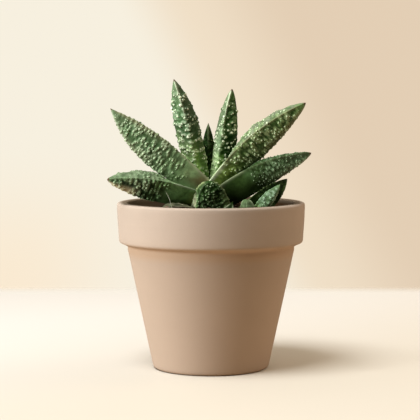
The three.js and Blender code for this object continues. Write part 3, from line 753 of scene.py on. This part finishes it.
# Height and depth of the grooves of the thrower's fingers.
GROOVES = ((85.0, 0.07), (83.4, 0.09), (81.9, 0.05), (72.0, 0.04), (58, 0.03), (40, 0.04), (22, 0.03))


def inner_radius(height):
    """The radius of the wall's inner face."""
    return FOOT_RADIUS + (BODY_TOP_RADIUS - FOOT_RADIUS) / BODY_TOP_HEIGHT * height - POT_WALL


def arc(centre, radius, start, end, steps):
    angles = np.radians(np.linspace(start, end, steps + 1))
    return [(centre[0] + radius * math.cos(a), centre[1] + radius * math.sin(a)) for a in angles]


def straight(a, b):
    """Points between two corners, without the corners."""
    count = max(1, int(math.dist(a, b) / PROFILE_STEP))
    return [tuple(a[k] + (b[k] - a[k]) * i / count for k in (0, 1)) for i in range(1, count)]


def lathe(profile):
    """Turns a closed (out, up) profile about Z into the vertices and faces of a ring."""
    out, up = np.array(profile).T
    angles = np.linspace(0, FULL_TURN, POT_SIDES, endpoint=False)
    turns = ((np.cos(angles), out), (np.sin(angles), out), (np.ones(POT_SIDES), up))
    co = np.stack([np.outer(*turn) for turn in turns], -1)
    here = np.arange(POT_SIDES * len(profile)).reshape(POT_SIDES, -1)
    there = np.roll(here, -1, 0)
    faces = np.stack([here, there, np.roll(there, -1, 1), np.roll(here, -1, 1)], -1)
    return co.reshape(-1, 3), faces.reshape(-1, 4).tolist()


def pot_profile():
    """The section of the pot, from its drainage hole up the outside, over the lip and down the inside."""
    top, floor, drain = POT_HEIGHT, POT_FLOOR, DRAIN_RADIUS + DRAIN_ROUND
    lip_in = inner_radius(top) - 0.6
    corners = [
        (drain, 0), (28.6, 0),
        *arc((28.8, FOOT_ROUND), FOOT_ROUND, -86, -12, 6),
        (BODY_TOP_RADIUS - 0.35, BODY_TOP_HEIGHT - 1.8),
        *arc((BODY_TOP_RADIUS + 1.6, BODY_TOP_HEIGHT - 1.2), 2.1, 165, 100, 4),
        (47.4, 67.1),
        *arc((47.4, 68.7), 1.6, -80, 0, 5),
        (RIM_RADIUS - 0.3, 79.2), (RIM_RADIUS, top - 3),
        *arc((RIM_RADIUS - LIP_OUTER_ROUND, top - LIP_OUTER_ROUND), LIP_OUTER_ROUND, 8, 90, 8),
        *arc((lip_in + LIP_INNER_ROUND, top - LIP_INNER_ROUND), LIP_INNER_ROUND, 90, 180, 6),
        (inner_radius(top - 12), top - 12),
        (inner_radius(floor + 3), floor + 3),
        (inner_radius(floor) - 2.5, floor),
        (drain, floor),
        *arc((drain, floor - DRAIN_ROUND), DRAIN_ROUND, 120, 180, 2),
        *arc((drain, DRAIN_ROUND), DRAIN_ROUND, 180, 240, 2),
    ]
    profile = []
    for corner, following in zip(corners, corners[1:] + corners[:1]):
        profile += [corner, *straight(corner, following)]
    return profile


def clay_material():
    material, tree = new_material("thrown_clay")
    stretched = add(tree, "ShaderNodeMapping", {"Vector": spot(tree), "Scale": (4, 4, 300)}).outputs[0]
    throwing = speckle(tree, 1.0, 3, 0.5, stretched)
    clouds = speckle(tree, 26)
    grain = speckle(tree, 1500, 3, 0.7)
    sideways, _, height = axes(tree, spot(tree))
    body = fade(tree, height, 0.074, 0.062, 0.0, 0.55)
    # Painted shade, warm and orange, in the groove under the ledge.
    ledge_groove_shade = times(tree, fade(tree, height, 0.058, 0.064), fade(tree, height, 0.0685, 0.0665, 0.0, 0.45))
    # Painted shade inside the pot: the inner wall near black below the lip, its left half lighter than its
    # right as light falls.
    low_wall = tint(tree, fade(tree, sideways, -0.03, 0.025), (0.085, 0.06, 0.036), (0.05, 0.022, 0.004))
    wall = tint(tree, fade(tree, height, 0.0855, 0.0885), low_wall, (0.08, 0.058, 0.034))
    colour = layered(
        tree, (0.385, 0.325, 0.275), (fade(tree, clouds, 0.35, 0.68), (0.41, 0.343, 0.29)),
        (fade(tree, throwing, 0.5, 0.8, 0.0, 0.2), (0.42, 0.35, 0.295)),
        (fade(tree, grain, 0.58, 0.75, 0.0, 0.25), (0.33, 0.265, 0.215)),
        (body, (0.37, 0.288, 0.222)), (ledge_groove_shade, (0.42, 0.28, 0.17)),
        # Painted shade on the inner half of the lip's top, from its crest inwards.
        (times(tree, attribute(tree, "lip_shade"), 0.9), (0.12, 0.092, 0.06)),
        (times(tree, attribute(tree, "inside"), 0.97), wall))
    surface = bump(tree, throwing, 0.0003, 0.15, bump(tree, grain, 0.00008, 0.5))
    paint(tree, colour, fade(tree, grain, 0.3, 0.7, 0.8, 0.94), surface, 0.2)
    return material


def make_pot():
    co, faces = lathe(pot_profile())
    x, y, up = co.T
    angle, out = np.arctan2(y, x), np.hypot(x, y)
    shift = 0.05 * np.sin(2 * angle + 0.6) + 0.03 * np.sin(3 * angle + up / 30)
    groove = np.zeros(len(co))
    for height, depth in GROOVES:
        groove -= depth * np.exp(-(((up - height - 0.3 * np.sin(angle + height)) / 0.5) ** 2))
    outside = (out > inner_radius(up) + 1.5) & (up > 3)
    shift = np.where(outside, shift + groove, 0) * smooth(up, 2, 8)
    co[:, 0] += np.cos(angle) * shift
    co[:, 1] += np.sin(angle) * shift
    # Painted shade inside the pot: this mask marks the inner wall below the lip.
    inner_shade_mask = smooth(inner_radius(up) + 1.1 - out, 0, 0.6) * smooth(POT_HEIGHT - up, 0.5, 1.6)
    # The lip mask carries painted shade on the inner half of the lip's top.
    near_top = smooth(up, POT_HEIGHT - 4, POT_HEIGHT - 2.5)
    shades = {"inside": inner_shade_mask, "lip_shade": smooth(LIP_CREST_RADIUS - out, 0, 0.7) * near_top}
    settle(mesh_object("thrown_pot", co, faces, shades, clay_material()), ["pot"])


# ---- soil

CRUMB_DENSITY = 2e6


def soil_material():
    material, tree = new_material("potting_soil")
    shade = attribute(tree, "shade")
    clods = speckle(tree, 400, 4, 0.65)
    colour = layered(
        tree, (0.018, 0.011, 0.007), (fade(tree, clods, 0.35, 0.68), (0.075, 0.045, 0.028)),
        (fade(tree, shade, 0.55, 0.75), (0.075, 0.047, 0.03)),
        (fade(tree, shade, 0.93, 0.95), (0.42, 0.34, 0.26)))
    paint(tree, colour, 0.93, bump(tree, clods, 0.0006, 0.7), 0.2)
    return material


def grit_tree():
    """Sows crumbs of soil and grit over the top of the soil."""
    tree, given = new_geometry_tree("soil_crumbs", {
        "Crumb": "Object", "Spacing": "Float", "Smallest": "Float", "Largest": "Float", "Seed": "Int",
        "Soil": "Material"})
    crumb = shape_of(tree, given["Crumb"])
    top = named(tree, "crumbly")
    sown = sow(tree, given["Geometry"], top, given["Spacing"], CRUMB_DENSITY, given["Seed"])
    seeds = [plus(tree, given["Seed"], float(i)) for i in range(1, 7)]
    turn = combined(tree, *(random_between(tree, 0.0, 6.28, seed) for seed in seeds[:3]))
    size = random_between(tree, given["Smallest"], given["Largest"], seeds[3])
    flatter = times(tree, size, random_between(tree, 0.45, 0.95, seeds[4]))
    scale = combined(tree, size, flatter, flatter)
    shade = random_between(tree, 0.0, 1.0, seeds[5])
    crumbs = scattered(tree, sown.outputs["Points"], "shade", shade, crumb, turn, scale)
    return close_tree(tree, [given["Geometry"], crumbs], given["Soil"])


def crumb_shape():
    """A small angular lump."""
    golden = (1 + 5**0.5) / 2
    flat = [(a, b * golden) for a in (-1, 1) for b in (-1, 1)]
    turned = [(a, b, 0) for a, b in flat], [(0, a, b) for a, b in flat], [(b, 0, a) for a, b in flat]
    corners = np.concatenate(turned)
    cloud = bmesh.new()
    for corner in corners / np.linalg.norm(corners[0]):
        push = 1 + 0.35 * noise.noise(Vector(corner * 1.7))
        cloud.verts.new(Vector(corner) * push)
    bmesh.ops.convex_hull(cloud, input=cloud.verts)
    bmesh.ops.recalc_face_normals(cloud, faces=cloud.faces)
    mesh = bpy.data.meshes.new("crumb")
    cloud.to_mesh(mesh)
    cloud.free()
    crumb = add_object("crumb", mesh)
    crumb.hide_render = True
    return crumb


def make_soil():
    low, floor = POT_FLOOR + 0.3, inner_radius(POT_FLOOR)
    rows = [(floor - 3.2, low), (inner_radius(POT_FLOOR + 3) - 0.7, POT_FLOOR + 3.2),
            (inner_radius(40) - 0.6, 40), (inner_radius(70) - 0.55, 70)]
    edge, rise = inner_radius(SOIL_EDGE_HEIGHT), SOIL_CROWN_HEIGHT - SOIL_EDGE_HEIGHT
    for out in np.linspace(edge - 0.5, 1.5, SOIL_ROWS):
        rows.append((out, SOIL_EDGE_HEIGHT + rise * smooth(edge - out, 0, edge - SOIL_CROWN_RADIUS)))
    vertices, crumbly = [], []
    for out, up in rows:
        top = up > 75
        for x, y in ring(SOIL_SIDES):
            place = np.array([out * x, out * y, up])
            if top:
                place[2] += noise.noise(Vector(place / 6)) + 0.5 * noise.noise(Vector(place / 2.2)) - 0.35
            vertices.append(place)
            crumbly.append(float(top))
    vertices += [(0, 0, low), (0, 0, SOIL_CROWN_HEIGHT)]
    crumbly += [0.0, 1.0]
    blank = mesh_object("soil_blank", np.array(vertices), ring_faces(len(rows), SOIL_SIDES),
                        {"crumbly": crumbly, "shade": [0.0] * len(crumbly)})
    crumb = crumb_shape()
    soil = grown(blank, grit_tree(), {
        "Crumb": crumb, "Spacing": 0.00125, "Smallest": 0.00045, "Largest": 0.0015, "Seed": 5,
        "Soil": soil_material(),
    }, "gritty_soil")
    settle(soil, ["soil"])
    bpy.data.objects.remove(crumb)


# ---- small pieces

PEBBLE_CENTRE = (-13.2, -29.8, 85.4)
PEBBLE_RADII = (2.4, 2, 2.1)
PEBBLE_TURN = 0.5
PEBBLE_ROUGHNESS = 0.18
PEBBLE_ROWS, PEBBLE_SIDES = 22, 32
FIBRE_ROUTE = np.array([(-19.5, -24.5, 84.2), (-20.5, -26, 88.5), (-21.4, -27, 92), (-23.4, -28, 96.2)])
FIBRE_RADII = (0.2, 0.18, 0.15, 0.05)
FIBRE_POINTS = 40
FIBRE_SIDES = 8


def speckled_material(name, grain, mix, dark, light, roughness, relief):
    """A plain skin of two colours mixed by noise, with the same noise as its relief."""
    material, tree = new_material(name)
    grain = speckle(tree, *grain)
    if isinstance(roughness, tuple):
        roughness = fade(tree, grain, 0.3, 0.7, *roughness)
    paint(tree, tint(tree, fade(tree, grain, *mix), dark, light), roughness, bump(tree, grain, *relief))
    return material


def make_pebble():
    """A closed worn stone: a fine ball pushed in and out by noise."""
    polars = [math.pi * i / PEBBLE_ROWS for i in range(1, PEBBLE_ROWS)]
    ball = [(math.sin(polar) * x, math.sin(polar) * y, -math.cos(polar))
            for polar in polars for x, y in ring(PEBBLE_SIDES)]
    cos, sin = math.cos(PEBBLE_TURN), math.sin(PEBBLE_TURN)
    middle_x, middle_y, middle_z = PEBBLE_CENTRE
    shaped = []
    for place in ball + [(0, 0, -1), (0, 0, 1)]:
        dents = noise.noise(Vector(place) * 1.4 + Vector((4, 0, 0))) + 0.4 * noise.noise(Vector(place) * 4)
        push = 1 + PEBBLE_ROUGHNESS * dents
        x, y, z = (part * radius * push for part, radius in zip(place, PEBBLE_RADII))
        shaped.append((middle_x + x * cos - y * sin, middle_y + x * sin + y * cos, middle_z + z))
    skin = speckled_material("pink_pebble", (900, 4, 0.7), (0.38, 0.62), (0.3, 0.17, 0.12), (0.46, 0.3, 0.23),
                             (0.6, 0.85), (0.0002, 0.7))
    faces = ring_faces(PEBBLE_ROWS - 1, PEBBLE_SIDES)
    settle(mesh_object("worn_pebble", shaped, faces, material=skin), ["pebble"])


def make_fibre():
    """A thin tapering tube along a smooth route, closed at both ends."""
    bends = range(len(FIBRE_ROUTE))
    spans = np.linspace(0, len(FIBRE_ROUTE) - 1, FIBRE_POINTS)
    points = np.stack([np.interp(spans, bends, FIBRE_ROUTE[:, k]) for k in range(3)], -1)
    for _ in range(12):
        points[1:-1] = (points[:-2] + 2 * points[1:-1] + points[2:]) / 4
    directions = np.gradient(points, axis=0)
    directions /= np.linalg.norm(directions, axis=1, keepdims=True)
    side = np.cross(directions, (0.3, 0.9, 0.1))
    side /= np.linalg.norm(side, axis=1, keepdims=True)
    other = np.cross(directions, side)
    thick = np.interp(np.linspace(0, 1, FIBRE_POINTS), np.linspace(0, 1, len(FIBRE_RADII)), FIBRE_RADII)
    vertices = [points[i] + thick[i] * (x * side[i] + y * other[i])
                for i in range(FIBRE_POINTS) for x, y in ring(FIBRE_SIDES)]
    skin = speckled_material("dry_fibre_straw", (700,), (0.35, 0.65), (0.36, 0.4, 0.3), (0.6, 0.62, 0.5),
                             0.75, (0.0001, 0.6))
    faces = ring_faces(FIBRE_POINTS, FIBRE_SIDES)
    fibre = mesh_object("straw_fibre", [*vertices, points[0], points[-1]], faces, material=skin)
    settle(fibre, ["dry_fibre"])


def dress_stems():
    bark = speckled_material("corky_stem", (500, 4, 0.65), (0.35, 0.65), (0.16, 0.13, 0.06),
                             (0.36, 0.33, 0.17), (0.6, 0.85), (0.0005, 0.6))
    for name in ("stem_and_roots", "offset_stem", "bud_stem"):
        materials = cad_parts[name].data.materials
        materials.clear()
        materials.append(bark)


# ---- stage, light and camera

FLOOR_HALF = 0.36  # metres
SOFT_WHITE = (1.0, 0.98, 0.95)


def make_floor():
    mesh = bpy.data.meshes.new("floor")
    corners = [(x * FLOOR_HALF, y * FLOOR_HALF, 0) for x, y in ((-1, -1), (1, -1), (1, 1), (-1, 1))]
    mesh.from_pydata(corners, [], [(0, 1, 2, 3)])
    material, tree = new_material("floor_cream")
    x, y, _ = axes(tree, spot(tree))
    # Painted light on the floor: whiter and brighter towards the back left, warmer and darker cream in front.
    whiter = fade(tree, calc(tree, "SUBTRACT", y, times(tree, x, 0.8)), -0.12, 0.3)
    seen = tint(tree, whiter, (0.67, 0.65, 0.585), (0.79, 0.81, 0.81))
    # To bounced light the floor is a darker warm brown, which warms and deepens the shade on the pot and the
    # leaves.
    bounced = add(tree, "ShaderNodeLightPath").outputs["Is Diffuse Ray"]
    paint(tree, tint(tree, bounced, seen, (0.56, 0.42, 0.28)), 0.6, None, 0.2)
    reach = calc(tree, "MAXIMUM", calc(tree, "ABSOLUTE", x), calc(tree, "ABSOLUTE", y))
    put(tree, tree.nodes["Principled BSDF"].inputs["Alpha"], fade(tree, reach, 0.356, 0.312))
    mesh.materials.append(material)
    floor = add_object("floor", mesh)


def make_room_light():
    """What the camera sees behind the floor, a wall with painted light and shade (brighter cream to the left,
    darker beige to the right, warm low at the left), and a weak warm light from above for everything else.
    """
    world = bpy.data.worlds.new("cream_room")
    scene.world = world
    world.use_nodes = True
    tree = world.node_tree
    tree.nodes.clear()
    sideways, _, height = axes(tree, add(tree, "ShaderNodeTexCoord").outputs["Generated"])
    turn = plus(tree, sideways, times(tree, height, 0.5))
    warm = times(tree, fade(tree, height, -0.03, -0.12), fade(tree, sideways, -0.03, -0.12), 0.8)
    wall = layered(tree, (0.93, 0.87, 0.74), (fade(tree, turn, -0.035, 0.012), (0.87, 0.74, 0.57)),
                   (fade(tree, turn, 0.005, 0.075), (0.77, 0.62, 0.46)), (warm, (0.96, 0.81, 0.62)))
    seen = add(tree, "ShaderNodeBackground", {"Color": wall, "Strength": 1.0})
    overhead = fade(tree, height, 0.1, 0.9, 0.0, 0.75)
    soft = add(tree, "ShaderNodeBackground", {"Color": (1.0, 0.82, 0.62), "Strength": overhead})
    by_camera = add(tree, "ShaderNodeLightPath").outputs["Is Camera Ray"]
    mixed = add(tree, "ShaderNodeMixShader", {0: by_camera, 1: soft.outputs[0], 2: seen.outputs[0]})
    add(tree, "ShaderNodeOutputWorld", {0: mixed.outputs[0]})


def make_lights(leaves):
    """Soft lights, each on its own objects alone, or on everything if it has none."""
    floor = [bpy.data.objects["floor"]]
    rest = [obj for obj in bpy.data.objects if obj.type == "MESH" and obj not in floor]
    for name, place, target, size, power, colour, lit in (
        ("skylight", (-0.475, -0.333, 1.26), (0, 0, 0.05), (0.9, 0.9), 17.5, SOFT_WHITE, rest),
        ("window_left", (-0.95, -0.29, 0.27), (0, 0, 0.08), (0.7, 0.22), 14.0, (1.0, 0.98, 0.94), rest),
        ("floor_light", (-0.38, -0.44, 1.22), (0, 0, 0), (0.6, 0.6), 18.7, SOFT_WHITE, floor),
        ("bounce_right", (0.8, 0.25, 0.3), (0, 0, 0.08), (0.6, 0.5), 3.0, (1.0, 0.74, 0.52), None),
        ("leaf_fill", (-0.6, -0.32, 0.54), (0, 0, 0.11), (0.3, 0.3), 5.0, (1.0, 0.99, 0.93), leaves),
    ):
        data = bpy.data.lights.new(name, "AREA")
        data.shape = "RECTANGLE"
        data.size, data.size_y = size
        data.energy, data.color = power, colour
        light = add_object(name, data)
        light.location = place
        light.rotation_euler = (Vector(target) - Vector(place)).to_track_quat("-Z", "Y").to_euler()
        if lit:
            receivers = bpy.data.collections.new(name + "_receivers")
            for obj in lit:
                receivers.objects.link(obj)
            light.light_linking.receiver_collection = receivers


def make_camera():
    data = bpy.data.cameras.new("camera")
    data.lens = 141.91
    data.sensor_width = 36
    camera = add_object("camera", data)
    camera.location = (-0.000505, -0.88, 0.15109)
    camera.rotation_euler = (math.pi / 2 - math.radians(4.34), 0, 0)
    scene.camera = camera
    scene.view_settings.view_transform = "Standard"


make_camera()
make_room_light()
make_floor()
make_pot()
make_soil()
made_leaves = make_leaves()
make_pebble()
make_fibre()
dress_stems()
make_lights(made_leaves)
